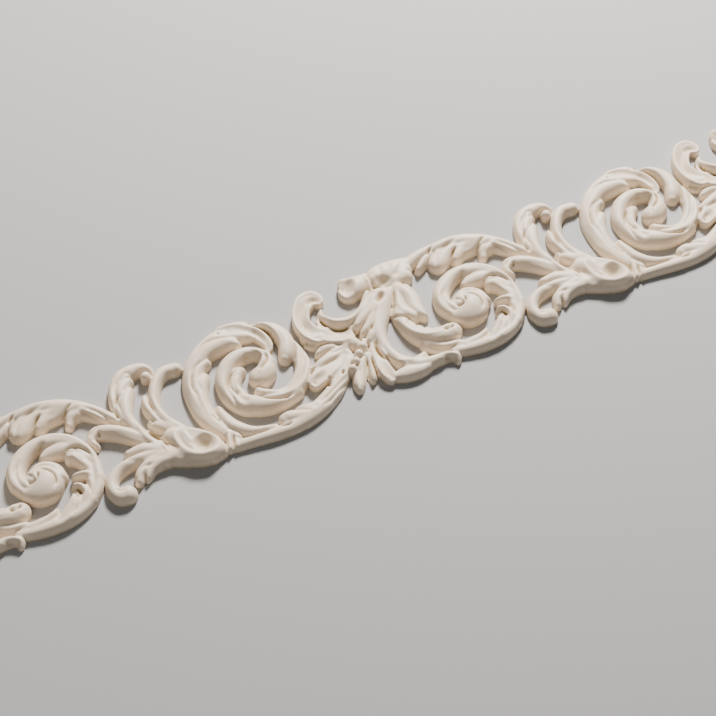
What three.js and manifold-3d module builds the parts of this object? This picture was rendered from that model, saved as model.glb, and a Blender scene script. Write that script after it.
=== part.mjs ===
// A decorative moulding: a pierced frieze of acanthus scrolls, cast in one piece.
//
// Repeats of the pattern lie end to end on a flat back, cut square at both ends.
// Millimetres, X along the run, Y across it towards the upper edge, Z out of the back.
// The origin is the centre of the back.
//
// The carving is drawn on squares, as a carver's pattern is. A leaf, a horn or a stem is
// one stroke: a line down its middle, and at each point of the line half its width and
// the height of its crest. All strokes stand on the same back, run into each other and
// are one body.

import * as THREE from "three";
import { mergeVertices } from "three/addons/utils/BufferGeometryUtils.js";
import Module from "manifold-3d";

const wasm = await Module();
wasm.setup();

// Driving dimensions.
const REPEAT_LENGTH = 320;
const REPEAT_COUNT = 2;
const BAND_WIDTH = 104;
const RELIEF_DEPTH = 13.5;
const BEAD_COUNT = 4;
const BEAD_RADIUS = 3.2;
const EYE_BOWL_RADIUS = 6.2;
const EYE_BOWL_DEPTH = 5;

// The drawing: a repeat is 320 squares long and the band 104 across, and a crest of 13.5
// squares stands at the full depth of the relief.
const SQUARES_LONG = 320;
const SQUARES_ACROSS = 104;
const SQUARES_DEEP = 13.5;
const ALONG = REPEAT_LENGTH / SQUARES_LONG;
const ACROSS = BAND_WIDTH / SQUARES_ACROSS;
const UP = RELIEF_DEPTH / SQUARES_DEEP;

// The squares at which the run is cut, and the square on the band's middle line.
const FIRST_CUT = -164;
const LAST_CUT = FIRST_CUT + REPEAT_COUNT * SQUARES_LONG;
const MIDDLE_ALONG = (FIRST_CUT + LAST_CUT) / 2;
const MIDDLE_ACROSS = 30;

// Sections across a stroke, from its left foot to its right foot: place across as a
// share of the half width, and height as a share of the crest.
const ROUND = [[-1, 0], [-1, 0.6], [0, 1], [1, 0.6], [1, 0]];
const DOMED = [[-1, 0], [-1, 0.5], [-0.6, 0.86], [0, 1], [0.6, 0.86], [1, 0.5], [1, 0]];
const CUPPED = [[-1, 0], [-1, 0.9], [0, 0.68], [1, 0.9], [1, 0]];

// A stroke is stepped finely, and a step stays where it departs by this many squares
// from a straight run between its neighbours, in place, and in part in width and crest.
const STEPS_PER_POINT = 10;
const DEPARTURE = 1.8;
const WIDTH_COUNTS = 0.7;
const CREST_COUNTS = 0.5;
const THINNEST = 0.3;

// The tip of a stroke reaches past its last point by a share of the half width there,
// and is narrower and lower. On the inside of a bend a stroke is no wider than the bend.
const TIP_REACH = 0.78;
const TIP_WIDTH = 0.55;
const TIP_CREST = 0.9;
const BEND_LIMIT = 0.9;

// Flat sides round a bead, and round the ball that the bowl is cut with.
const BEAD_SIDES = 6;
const BOWL_SIDES = 10;

// How far the strokes go below the back before they are cut off flat.
const FOOT = 1;

const round = (...points) => ({ section: ROUND, points });
const domed = (...points) => ({ section: DOMED, points });
const cupped = (...points) => ({ section: CUPPED, points });

// The spray: leaves and horns that fan out from behind the eye.
const spray = [
  // The claw, a leaf that runs back and hooks down.
  round([-34, 14, 5.2, 8], [-42, 23, 5.6, 8.5], [-50, 31, 5.6, 9.5], [-58, 36.5, 5.4, 9.5],
    [-65, 38.5, 5, 8.5], [-69.5, 34, 3.2, 7.5], [-68.5, 29, 3, 7]),
  // The upper horn, whose end rolls into a small ball, with its lobe and its inner leaf.
  round([-33, 12, 3.6, 7], [-40, 28, 3.6, 8], [-44.5, 42, 3.4, 8.5], [-45, 52, 3.4, 9],
    [-42.5, 61, 4, 9.5], [-38, 68, 5.2, 9.5], [-31, 73.5, 6.2, 9.5], [-23, 75.5, 5.6, 9],
    [-16, 74.5, 4.2, 8.5], [-12.5, 70.5, 3.1, 8], [-14.2, 67.8, 3, 7.5], [-17, 68, 3.1, 7.5]),
  cupped([-42, 53, 4.2, 8.5], [-38, 61, 5, 9], [-33, 66.5, 5, 8.5], [-28.5, 68, 3.2, 7]),
  cupped([-31, 10, 4.5, 7.5], [-37.5, 24, 4.6, 8], [-41, 38, 4.6, 9], [-39, 49, 5.2, 9.5],
    [-35, 57, 5.2, 8.5], [-31.5, 60.5, 3.8, 7]),
  // The low ground between the two horns.
  round([-32, 25, 2, 3], [-30, 20, 2.8, 3], [-27, 14, 3, 4]),
  // The second horn, whose tip touches the scroll, with two leaves at its back.
  round([-12, 14, 4.2, 8], [-18.5, 27, 3.9, 8.5], [-20.5, 39, 3.8, 9], [-18, 49.5, 4.2, 9.5],
    [-12.5, 58.5, 4.4, 9.5], [-5, 64.3, 4.8, 9], [2.5, 64.5, 5, 8], [4.5, 64, 4.8, 8]),
  round([-18, 20, 4.2, 8], [-23, 30, 4, 8.5], [-26, 40, 3.7, 8.5], [-25.5, 47, 2.8, 8],
    [-24, 51, 2, 6.5]),
  round([-17, 17, 5.2, 8], [-24, 24, 4.8, 7.5], [-28.5, 29.5, 2.8, 6]),
  // The big leaf, which turns over at its end, and the three lobes on its edges.
  round([-24, 0, 6.6, 8.5], [-33, 6, 5.6, 9], [-42, 11, 5.4, 9], [-51.5, 12.5, 3.8, 7.5]),
  round([-24, -2, 6.6, 9], [-36, 2, 6.2, 9], [-48, 5, 4.7, 9], [-60, 4.2, 4.6, 8.5],
    [-68.3, -0.5, 4.4, 8], [-71.8, -8, 4.6, 8], [-69, -15, 6, 8.5], [-64.5, -16, 6.6, 9]),
  round([-30, -4, 4.7, 8.5], [-42, -1.5, 4.7, 8.5], [-50.3, -4.8, 3.9, 8],
    [-53.8, -10.5, 3, 6.5]),
  round([-22, -4, 4.7, 9], [-33, -3.5, 4.5, 8.5], [-42, -5, 4.1, 8], [-47.8, -10, 2.8, 6.5]),
  // The eye, the stem below it and the two rings of its collar.
  round([-30, -1, 5.7, 8.5], [-18, -7, 6.7, 9], [-5, -11.5, 6, 9], [4, -12, 4.6, 8]),
  domed([-20, 13, 7.6, 8], [-14, 7, 10.2, 11.5], [-8, 0, 11.7, 13.5], [-4, -4.5, 11.2, 12.5]),
  round([10, -4, 2.3, 7], [7, -14.5, 2.3, 7]),
  round([14.5, -4.5, 2.1, 6.5], [12, -14.5, 2.1, 6.5]),
];

// The first scroll: a rim of overlapping leaves around a ring that ends in a ball.
const firstScroll = [
  // The rim, and the leaves that lie on it one after the other, from the stem round.
  round([17, -8, 4.7, 6.5], [10, 3, 5.2, 7], [5.5, 17, 5.7, 8], [5, 32, 5.7, 8.5],
    [8, 46, 6.2, 8.5], [15, 58, 6.6, 9], [25, 66.7, 7.2, 9.5], [37, 72, 7.4, 10],
    [49, 72.5, 7.4, 10], [61, 69, 6.6, 9]),
  round([44, -12.5, 3.2, 6], [30, -8.5, 4.6, 7], [20, 1, 5.2, 8], [16.5, 11, 4.5, 8],
    [16.3, 18.5, 3, 6.5]),
  round([12, 2, 4.7, 7], [9, 14, 4.7, 8], [9, 27, 4.7, 9], [12, 38, 5, 9.5],
    [16.5, 44.5, 4.5, 9], [19.5, 47.5, 3.2, 7.5]),
  round([9, 38, 4.7, 9], [13, 49, 5.2, 9.5], [19, 56, 4.7, 9.5], [25, 57.8, 3.5, 8]),
  round([13, 52, 4.7, 9.5], [20, 61, 5.7, 10], [30, 66.5, 6.6, 11], [40, 67, 6.6, 11],
    [47, 64.8, 5.2, 11], [49.5, 62.3, 4, 10]),
  cupped([46, 75, 5.5, 9.5], [56, 74, 5.4, 9.5], [64.5, 68.5, 5.2, 9.5], [69, 60.5, 4.7, 9],
    [69.8, 53.5, 3.6, 8.5], [68.3, 48.5, 2.2, 7]),
  round([64, 73, 2.6, 8.5], [75.5, 66, 5.2, 9.5], [81, 57, 6.2, 9.5], [81.3, 48, 6, 9.5],
    [77.5, 40.5, 5.5, 9], [75, 37, 4.4, 7.5]),
  // The strand that leads in, its bulge, the ring, the leaf in the ring and the ball.
  round([84, 47, 4.2, 8], [85, 35, 5.2, 8], [82.5, 24, 5.7, 9], [76, 15, 6.2, 9],
    [67, 9, 6.2, 9.5], [57, 9, 5.7, 9.5], [50, 14.5, 4.7, 8.5], [46.8, 20, 3.2, 7]),
  round([70, 7, 4.7, 8], [60, 5, 5.2, 9.5], [49, 6, 6.7, 10.5], [40, 10, 7.2, 10.5],
    [35, 15.5, 6.2, 9.5], [34, 20.5, 4, 8]),
  round([44, 7, 5.7, 9.5], [34, 11.5, 5.7, 9.5], [28, 20, 5.3, 9.5], [26.5, 31, 5.1, 9.5],
    [30, 41, 5.7, 10], [38, 49, 6.2, 11], [48, 52, 5.7, 11], [57, 50.5, 4.7, 10],
    [63.5, 44, 4.2, 9.5], [64, 37, 4.2, 9.5]),
  cupped([36, 21, 3.7, 8], [33.5, 29, 4.3, 9], [37, 36.3, 4.5, 9.5], [41, 40, 4.2, 9],
    [43.5, 40.5, 3.2, 8]),
  domed([62, 40, 5.2, 9.5], [59, 33, 7.2, 11], [53.5, 30, 8.2, 11], [51.5, 30, 6.7, 10]),
];

// The stem that leaves the collar and carries the run on, with its knobs and pods.
const stem = [
  round([14, -12.5, 3.7, 5.5], [28, -14.5, 3.7, 6], [42, -16.5, 4.1, 6.5],
    [56, -16.5, 5.7, 7], [68, -14.5, 6.7, 8], [80, -10.5, 6.7, 8], [92, -4, 6.2, 8],
    [103, 5, 5.7, 7.5], [113, 14, 5.7, 7.5]),
  round([60, -11, 4.7, 7.5], [53, -8.5, 4.7, 7], [51, -10, 3.7, 6.5]),
  round([76, -9.5, 3.2, 7.5], [69, -8.3, 3.4, 7], [64, -6.8, 2.6, 6.5]),
  // The pod leaf, in two lobes that reach back to the scroll.
  round([116, 26, 4.2, 7], [104, 23, 4.7, 8], [95, 20.5, 4.2, 8], [89.5, 19.5, 2.9, 6.5]),
  cupped([112, 19, 5.7, 7], [100, 15, 6.2, 8.5], [91, 11, 6.2, 8.5], [85, 8, 5.3, 8],
    [83.3, 7, 4.2, 7]),
  // The pods that hang below the beads.
  round([121, 10, 4.7, 7], [115, 2, 5.1, 7], [110.8, -5.5, 4.7, 7], [108.5, -11, 2.7, 5.5]),
  round([126, 12, 4.1, 7], [123.5, 2, 4.1, 7], [121.3, -5.5, 3.3, 6.5],
    [120.3, -8.2, 2.1, 5.5]),
  round([131, 14, 3.7, 6.5], [128, 3, 3.7, 6.5], [127, -3.5, 3.7, 6.5]),
];

// The large curl that stands up from the root, and the blade that lies across its bowl.
const largeCurl = [
  cupped([116, 32, 6.7, 8], [107, 38, 6.9, 8.5], [99.7, 47, 6.5, 9.5], [98.2, 57, 6, 9.5],
    [101.5, 66, 6.3, 9.5], [107.5, 73, 6.5, 9.5], [113.5, 76, 6, 8], [117, 73.5, 4.6, 8],
    [117.8, 71, 3.7, 8]),
  // The two lobes at the back of the curl.
  round([106, 40, 4.7, 8], [98, 43, 4.3, 8], [94, 45.8, 3, 6.5]),
  round([114, 32, 5.7, 8], [104, 31, 5, 8], [97.5, 29.7, 3, 6.5]),
  // The blade, the bowl below it and the root that they share.
  round([151, 59.5, 3.4, 10], [142, 49.5, 3.9, 9.5], [131, 45.5, 4.1, 8.5],
    [122, 47, 3.9, 8.5], [115.5, 51.5, 3.7, 8.5], [113, 57.5, 3.1, 8.5],
    [115.3, 61.5, 1.9, 7.5]),
  cupped([112, 53, 4.2, 7], [113, 45, 6.4, 6], [117.5, 39.5, 8, 6], [123, 37.5, 6.6, 6]),
  round([110, 31, 4.7, 7], [120, 29, 5.7, 8], [128, 24, 5.5, 7]),
];

// The loop: a head like a hood, and a long stalk that comes down and turns along the run.
const loop = [
  round([161, 54.5, 6.9, 10.5], [155, 47, 7.8, 11], [148.5, 38, 7.5, 10],
    [143, 29, 6.5, 9.5], [141, 19, 5, 8.5], [141, 9.5, 4.4, 8], [143.5, 0, 4.7, 8],
    [149, -8, 6.2, 8], [155, -12, 6.4, 8], [162, -13, 4.9, 8], [169, -13.5, 4.1, 8],
    [176, -14, 3.6, 7], [181, -16.5, 3.3, 6.5], [180, -20, 2.3, 5.5]),
  // The folds at the side of its head.
  round([150, 52, 4.7, 10], [140, 45, 4.4, 9.5], [132, 40.5, 3.8, 8.5], [129.5, 38, 3.1, 8]),
  round([142, 36, 4.7, 9.5], [135.5, 30, 4.1, 8.5], [133, 26.5, 3.1, 7]),
  // The body of its foot, the leaf beside its stalk and the knob on its foot.
  round([136, -13, 3.7, 6.5], [142, -13.5, 5.8, 7.5], [150, -14.5, 6.2, 8],
    [158, -14.5, 5, 7.5]),
  cupped([136, 18, 4.1, 7], [133, 8, 4.5, 8], [131, -2, 4.9, 8], [131.5, -10, 4.7, 7],
    [131.5, -13.5, 3, 6]),
  round([154, -8, 4.7, 7], [160, -6.5, 3.7, 7], [161.5, -5, 2.7, 6.5]),
];

// The flower, of one petal to the left, one on top, one to the right and a long low one.
const flower = [
  cupped([156, 71, 8, 10], [148, 70.5, 8.8, 10], [142, 70, 8.4, 9.5], [141, 70, 8, 9.5]),
  round([155, 68, 6.7, 10], [166, 70.5, 9.3, 11], [174, 72.5, 9.5, 10], [183, 72.5, 7.7, 9.5],
    [189, 74, 4.7, 8]),
  round([174, 64, 6.7, 9.5], [181, 63, 6, 9]),
  round([171, 62, 7.7, 9.5], [176, 53, 7.3, 9.5], [177, 44, 7.8, 9.5], [176.3, 35, 7.7, 9],
    [175, 30, 6.4, 8]),
  // Its heart, and the low web between its petals and the loop.
  round([164, 60, 5.7, 7], [167, 54, 5, 6], [167, 46, 5, 7], [166, 40, 5.4, 8]),
  round([151, 63, 4, 6], [163, 62, 4, 6]),
  // The leaf that rolls out below it, and the link from there to the second scroll.
  round([164, 36, 6.7, 8], [162.5, 26, 5.7, 8.5], [164.5, 16, 6.7, 9.5], [171, 6.5, 8.2, 10.5],
    [180, 2.5, 7.7, 11], [187, 3, 7.2, 11], [189, 3.5, 6.7, 10]),
  round([168, 2, 5.7, 7], [177, -5, 4.7, 7], [188, -9, 4.7, 7]),
];

// The second scroll: a ring that winds in on a large ball, with lobes on its inner edge.
const secondScroll = [
  round([183, -12.5, 4, 6.5], [194, -15, 4.6, 7], [206, -16.3, 5.1, 8], [219, -14, 6.1, 8.5],
    [231, -7.5, 6.7, 9], [240, 2.5, 6.2, 9], [244, 15, 5.5, 9], [243, 28, 5.7, 9.5],
    [237, 39, 6.3, 10], [227, 45.5, 6.3, 10], [215, 47, 5.7, 10], [205, 43, 6.2, 10],
    [197.5, 35.5, 6.3, 10], [195, 26, 6.3, 10], [198, 19, 6.6, 10]),
  domed([199, 20, 7.7, 9], [205, 15.5, 12, 12.5], [208.5, 15.5, 13.6, 13.5],
    [211, 16.5, 12.6, 13.5]),
  // The lip that winds round the ball.
  round([222, 16, 4.6, 10], [221, 24, 4.2, 10], [214.5, 29, 4.2, 10], [208, 28, 3.2, 9.5],
    [205.5, 25.5, 2, 8.5]),
  // The lobes, from the top of the ring round to its foot.
  round([236, 36, 5.7, 9.5], [228, 38.5, 5.7, 9.5], [220, 38, 4.7, 8.5], [215.5, 36.3, 2.6, 7]),
  cupped([244, 22, 4.7, 9], [240, 30, 4.7, 9], [235.5, 29.7, 4.7, 8.5], [232.5, 28, 3.6, 7]),
  round([241, 14, 4.7, 8.5], [235, 13.5, 3.2, 8], [230.5, 14.3, 2.3, 6.5]),
  round([235, -5, 4.2, 8.5], [235, 2, 3.6, 8.5], [232, 7, 2.6, 7]),
  cupped([214, -12, 5.3, 8], [220, -6, 4.7, 8.5], [224, -0.5, 3.2, 7]),
  round([190, -9, 4.2, 7], [200, -8.5, 3.3, 7], [207.5, -6.2, 2.6, 6.5]),
];

// The arch: a long leaf that leaps over the second scroll and dives into the next spray.
const arch = [
  round([188, 72, 5.5, 8], [200, 75, 5, 9], [214, 75.5, 5, 10], [228, 74.5, 5.5, 11],
    [241, 69.5, 6.5, 11], [252, 63, 6.5, 10], [261, 54.5, 6, 9], [267, 47, 5, 9],
    [273, 40, 3.5, 8]),
  // Its three lobes, the web between them and the claw that reaches down to the ring.
  cupped([208, 73, 4.5, 9], [201.5, 69, 4, 8], [195, 64.5, 2.6, 6]),
  cupped([224, 73, 5.5, 9], [215, 70.5, 6, 9], [209.5, 65.5, 5.8, 9], [206, 62, 4.2, 7]),
  cupped([238, 70, 5.5, 10], [229, 66, 5.6, 9], [222, 61.5, 5, 9], [218.5, 58, 3.2, 7]),
  round([246, 66, 5.5, 9], [238, 64, 4.6, 8.5], [230, 62.5, 3.6, 8]),
  round([256, 60, 4.6, 9], [249, 59, 5, 9.5], [243, 57.5, 4.5, 9], [239.3, 53, 3.2, 7]),
];

// The row of beads between the pods and the stalk: its first and last bead, and the low
// bed that carries it, which reaches a little past both.
const beads = { first: [125, 20.3], last: [112, 6.8], crest: 9 };
const beadBed = [round([126.5, 22, 2.4, 5], [111, 5.5, 2.4, 5])];

// The bowl sunk in the eye, and the height of its lip.
const eyeBowl = { middle: [-5.6, -7], lip: 12 };

const strokes = [
  ...spray, ...firstScroll, ...stem, ...largeCurl, ...loop, ...flower, ...secondScroll,
  ...arch, ...beadBed,
];

// A place on the drawing, in millimetres from the centre of the back.
function place(x, y, height) {
  return [(x - MIDDLE_ALONG) * ALONG, (y - MIDDLE_ACROSS) * ACROSS, height * UP];
}

// How far a step lies off the straight run from one step to another.
function departure(step, from, to) {
  const line = new THREE.Line3(
    new THREE.Vector3(from.x, from.y, 0),
    new THREE.Vector3(to.x, to.y, 0),
  );
  const here = new THREE.Vector3(step.x, step.y, 0);
  const share = line.closestPointToPointParameter(here, true);
  const nearest = line.at(share, new THREE.Vector3());
  return nearest.distanceTo(here)
    + WIDTH_COUNTS * Math.abs(step.half - THREE.MathUtils.lerp(from.half, to.half, share))
    + CREST_COUNTS * Math.abs(step.crest - THREE.MathUtils.lerp(from.crest, to.crest, share));
}

// The steps that a run can't do without, with its first left out.
function needed(steps) {
  const from = steps[0];
  const to = steps[steps.length - 1];
  const inner = steps.slice(1, -1).map((step) => departure(step, from, to));
  const worst = Math.max(0, ...inner);
  if (worst < DEPARTURE) {
    return [to];
  }
  const split = inner.indexOf(worst) + 1;
  return [...needed(steps.slice(0, split + 1)), ...needed(steps.slice(split))];
}

// The stations of a stroke: smooth through its points, and only as many as it needs.
function stations(points) {
  const middle = new THREE.CatmullRomCurve3(
    points.map(([x, y, , crest]) => new THREE.Vector3(x, y, crest)),
    false, "catmullrom",
  );
  const width = new THREE.CatmullRomCurve3(
    points.map(([, , half]) => new THREE.Vector3(half, 0, 0)),
    false, "catmullrom",
  );
  const count = (points.length - 1) * STEPS_PER_POINT;
  const steps = [];
  for (let i = 0; i <= count; i += 1) {
    const at = middle.getPoint(i / count);
    const half = Math.max(width.getPoint(i / count).x, THINNEST);
    steps.push({ x: at.x, y: at.y, crest: at.z, half });
  }
  return [steps[0], ...needed(steps)];
}

// The direction of the stroke at each station, and its reach to the left and right.
function headings(line) {
  return line.map((here, i) => {
    const before = line[Math.max(i - 1, 0)];
    const after = line[Math.min(i + 1, line.length - 1)];
    const run = Math.hypot(after.x - before.x, after.y - before.y);
    const heading = {
      ...here,
      dx: (after.x - before.x) / run,
      dy: (after.y - before.y) / run,
      left: here.half,
      right: here.half,
    };
    if (before === here || after === here) {
      return heading;
    }
    const came = new THREE.Vector2(here.x - before.x, here.y - before.y);
    const goes = new THREE.Vector2(after.x - here.x, after.y - here.y);
    const turn = Math.atan2(came.cross(goes), came.dot(goes));
    const bend = (came.length() + goes.length()) / 2 / Math.abs(turn || Number.EPSILON);
    const inside = turn > 0 ? "left" : "right";
    heading[inside] = Math.min(here.half, BEND_LIMIT * bend);
    return heading;
  });
}

// The tip that closes a stroke past its last station.
function tip(last) {
  return {
    ...last,
    x: last.x + TIP_REACH * last.half * last.dx,
    y: last.y + TIP_REACH * last.half * last.dy,
    left: TIP_WIDTH * last.left,
    right: TIP_WIDTH * last.right,
    crest: TIP_CREST * last.crest,
  };
}

// A solid from a closed surface's vertices and faces.
function solid(vertices, faces) {
  return new wasm.Manifold(new wasm.Mesh({
    numProp: 3,
    vertProperties: new Float32Array(vertices),
    triVerts: new Uint32Array(faces),
  }));
}

// A solid from a plain closed shape, such as a ball.
function solidOf(geometry) {
  const bare = geometry.clone();
  bare.deleteAttribute("normal");
  bare.deleteAttribute("uv");
  const merged = mergeVertices(bare);
  return solid(merged.attributes.position.array, merged.index.array);
}

// One stroke, as a solid: its section carried from station to station, closed at both
// ends. Its start is hidden in the stroke that it springs from.
function carve({ section, points }, shift) {
  const line = headings(stations(points));
  const rings = [...line, tip(line[line.length - 1])];
  const size = section.length;
  const vertices = rings.flatMap((ring) => section.flatMap(([across, height]) => {
    const reach = across * (across < 0 ? ring.left : ring.right);
    const x = ring.x + shift + reach * ring.dy;
    const y = ring.y - reach * ring.dx;
    const [px, py, pz] = place(x, y, height * ring.crest);
    return [px, py, height === 0 ? -FOOT : pz];
  }));
  const faces = [];
  for (let ring = 0; ring + 1 < rings.length; ring += 1) {
    for (let i = 0; i < size; i += 1) {
      const a = ring * size + i;
      const b = ring * size + (i + 1) % size;
      faces.push(a, b, b + size, a, b + size, a + size);
    }
  }
  const end = (rings.length - 1) * size;
  for (let i = 1; i + 1 < size; i += 1) {
    faces.push(0, i + 1, i);
    faces.push(end, end + i, end + i + 1);
  }
  return solid(vertices, faces);
}

// The beads of one repeat.
function beadRow(shift) {
  const ball = new THREE.SphereGeometry(BEAD_RADIUS, BEAD_SIDES, BEAD_SIDES / 2);
  const row = [];
  for (let i = 0; i < BEAD_COUNT; i += 1) {
    const share = BEAD_COUNT > 1 ? i / (BEAD_COUNT - 1) : 0;
    const x = THREE.MathUtils.lerp(beads.first[0], beads.last[0], share) + shift;
    const y = THREE.MathUtils.lerp(beads.first[1], beads.last[1], share);
    const [px, py, pz] = place(x, y, beads.crest);
    row.push(solidOf(ball.clone().translate(px, py, pz - BEAD_RADIUS)));
  }
  return row;
}

// The bowl of one eye, a part of a ball that is as wide at the lip as the bowl.
function bowl(shift) {
  const radius = (EYE_BOWL_RADIUS ** 2 + EYE_BOWL_DEPTH ** 2) / (2 * EYE_BOWL_DEPTH);
  const [px, py, lip] = place(eyeBowl.middle[0] + shift, eyeBowl.middle[1], eyeBowl.lip);
  const ball = new THREE.SphereGeometry(radius, BOWL_SIDES, BOWL_SIDES / 2);
  return solidOf(ball.translate(px, py, lip - EYE_BOWL_DEPTH + radius));
}

// The run between its two square cuts, from the back up.
function runBox() {
  const box = new THREE.BoxGeometry(REPEAT_LENGTH * REPEAT_COUNT, 2 * BAND_WIDTH, 2 * RELIEF_DEPTH);
  return solidOf(box.translate(0, 0, RELIEF_DEPTH));
}

// The whole casting. A repeat starts past the first cut, so the one before it comes too.
function casting() {
  const raised = [];
  const sunk = [];
  for (let copy = -1; copy < REPEAT_COUNT; copy += 1) {
    const shift = copy * SQUARES_LONG;
    const within = ({ points }) => points.some(([x]) => x + shift > FIRST_CUT && x + shift < LAST_CUT);
    raised.push(...strokes.filter(within).map((stroke) => carve(stroke, shift)));
    raised.push(...beadRow(shift));
    sunk.push(bowl(shift));
  }
  const joined = raised.reduce((whole, piece) => whole.add(piece));
  return sunk.reduce((whole, piece) => whole.subtract(piece), joined).intersect(runBox());
}

const surface = casting().getMesh();
const geometry = new THREE.BufferGeometry();
geometry.setAttribute("position", new THREE.BufferAttribute(surface.vertProperties, surface.numProp));
geometry.setIndex(new THREE.BufferAttribute(surface.triVerts, 1));
geometry.computeVertexNormals();

// Cast resin, painted a matt ivory.
const ivory = new THREE.MeshStandardMaterial({
  color: 0xe4dacb,
  roughness: 0.62,
  metalness: 0,
  flatShading: true,
});

const moulding = new THREE.Mesh(geometry, ivory);
moulding.name = "scroll_moulding";

const part = new THREE.Group();
part.add(moulding);

export default part;
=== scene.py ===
import math

import bmesh
import bpy
import numpy as np
from mathutils import Matrix, Vector


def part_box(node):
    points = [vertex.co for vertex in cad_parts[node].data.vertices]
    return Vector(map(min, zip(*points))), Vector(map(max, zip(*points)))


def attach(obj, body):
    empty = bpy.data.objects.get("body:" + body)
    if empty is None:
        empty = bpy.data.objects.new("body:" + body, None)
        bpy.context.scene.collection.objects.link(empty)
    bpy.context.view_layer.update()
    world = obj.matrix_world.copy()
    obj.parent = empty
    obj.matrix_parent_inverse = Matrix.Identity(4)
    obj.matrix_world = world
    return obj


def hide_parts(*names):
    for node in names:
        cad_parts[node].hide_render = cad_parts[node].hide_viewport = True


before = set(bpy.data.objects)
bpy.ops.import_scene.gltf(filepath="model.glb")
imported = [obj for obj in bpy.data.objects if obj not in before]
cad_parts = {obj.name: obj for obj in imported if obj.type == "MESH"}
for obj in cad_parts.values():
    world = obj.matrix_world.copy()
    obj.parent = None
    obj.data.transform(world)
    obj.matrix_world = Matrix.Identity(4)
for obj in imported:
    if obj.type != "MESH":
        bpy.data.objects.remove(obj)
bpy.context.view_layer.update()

# The spray. Leaves and horns fan out from behind the eye, a swollen cup with a bowl sunk
# in its top. All of it is carved in the pattern, and comes out of the mould in one piece
# with the rest of the casting.
STROKE_STEP = 0.6
CUT_STEP = 0.4
LEAST_HALF = 0.3

strokes = []
creases = []
dents = []


def catmull_rom(points, step):
    """A smooth line through the points, sampled about every step."""
    knots = np.asarray(points, float)
    knots = np.vstack([2 * knots[0] - knots[1], knots, 2 * knots[-1] - knots[-2]])
    runs = []
    for before, here, there, after in zip(knots, knots[1:], knots[2:], knots[3:]):
        count = max(2, int(np.hypot(*(there - here)[:2]) / step) + 1)
        t = np.linspace(0, 1, count, endpoint=False)[:, None]
        runs.append(0.5 * (2 * here + (there - before) * t
                           + (2 * before - 5 * here + 4 * there - after) * t ** 2
                           + (3 * here - before - 3 * there + after) * t ** 3))
    runs.append(knots[-2:-1])
    return np.vstack(runs)


def stroke(profile, shoulder, points):
    """Lays one leaf, horn or stem of the pattern, which is drawn on squares, 320 to a repeat.

    Each point on the line down its middle has half its width and the height of its crest
    (x, y, half, crest). The profile is its height across, as a share of the crest, and the
    shoulder is how wide its edge rounds over.
    """
    line = catmull_rom(points, STROKE_STEP)
    line[:, 2] = np.maximum(line[:, 2], LEAST_HALF)
    strokes.append((profile, shoulder, line))


def round_leaf(*points):
    """A leaf with a swollen back, lower at its edges than at its crest."""
    edge_drop = 0.42
    fullness = 2.2
    shoulder = 2.6
    stroke(lambda across: 1 - edge_drop * across ** fullness, shoulder, points)


def ball(x, y, radius, crest):
    """A round end or a bead, half sunk in what it stands on."""
    waist = 0.6
    shoulder = 0.4
    drawn_out = 0.1
    stroke(lambda across: waist + (1 - waist) * np.sqrt(1 - across ** 2), shoulder,
           ((x, y, radius, crest), (x + drawn_out, y + drawn_out, radius, crest)))


def crease(depth, width, *points):
    """A groove cut along a line."""
    creases.append((depth, width, catmull_rom(points, CUT_STEP)))


def ridge(rise, width, *points):
    """A raised lip left standing along a line."""
    crease(-rise, width, *points)


def dent(depth, x, y, half_long, half_wide, turn=0.0):
    """A soft oval hollow, with its long axis turned by so many degrees."""
    dents.append((depth, x, y, half_long, half_wide, math.radians(turn)))


# The claw, which runs back and hooks down:
round_leaf((-34, 14, 5.2, 8), (-42, 23, 5.6, 8.5), (-50, 31, 5.6, 9.5), (-58, 36.5, 5.4, 9.5),
           (-65, 38.5, 5, 8.5), (-69.5, 34, 3.2, 7.5), (-68.5, 29, 3, 7))
# The upper horn, whose end rolls into a small ball, its lobe and its inner leaf:
round_leaf((-33, 12, 3.6, 7), (-40, 28, 3.6, 8), (-44.5, 42, 3.4, 8.5), (-45, 52, 3.4, 9),
           (-42.5, 61, 4, 9.5), (-38, 68, 5.2, 9.5), (-31, 73.5, 6.2, 9.5), (-23, 75.5, 5.6, 9),
           (-16, 74.5, 4.2, 8.5), (-12.5, 70.5, 3.1, 8), (-14.2, 67.8, 3, 7.5),
           (-17, 68, 3.1, 7.5))
round_leaf((-42, 53, 4.2, 8.5), (-38, 61, 5, 9.5), (-33, 66.5, 5, 9), (-28.5, 68, 3.2, 7.5))
round_leaf((-31, 10, 4.5, 7.5), (-37.5, 24, 4.6, 8), (-41, 38, 4.6, 9.5), (-39, 49, 5.2, 10),
           (-35, 57, 5.2, 9), (-31.5, 60.5, 3.8, 7.5))
round_leaf((-32, 25, 2, 3), (-30, 20, 2.8, 3), (-27, 14, 3, 4))
# The second horn, whose tip touches the scroll, and two leaves at its back:
round_leaf((-12, 14, 4.2, 8), (-18.5, 27, 3.9, 8.5), (-20.5, 39, 3.8, 9), (-18, 49.5, 4.2, 9.5),
           (-12.5, 58.5, 4.4, 9.5), (-5, 64.3, 4.8, 9), (2.5, 64.5, 5, 8), (4.5, 64, 4.8, 8))
round_leaf((-18, 20, 4.2, 8), (-23, 30, 4, 8.5), (-26, 40, 3.7, 8.5), (-25.5, 47, 2.8, 8),
           (-24, 51, 2, 6.5))
round_leaf((-17, 17, 5.2, 8), (-24, 24, 4.8, 7.5), (-28.5, 29.5, 2.8, 6))
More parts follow.
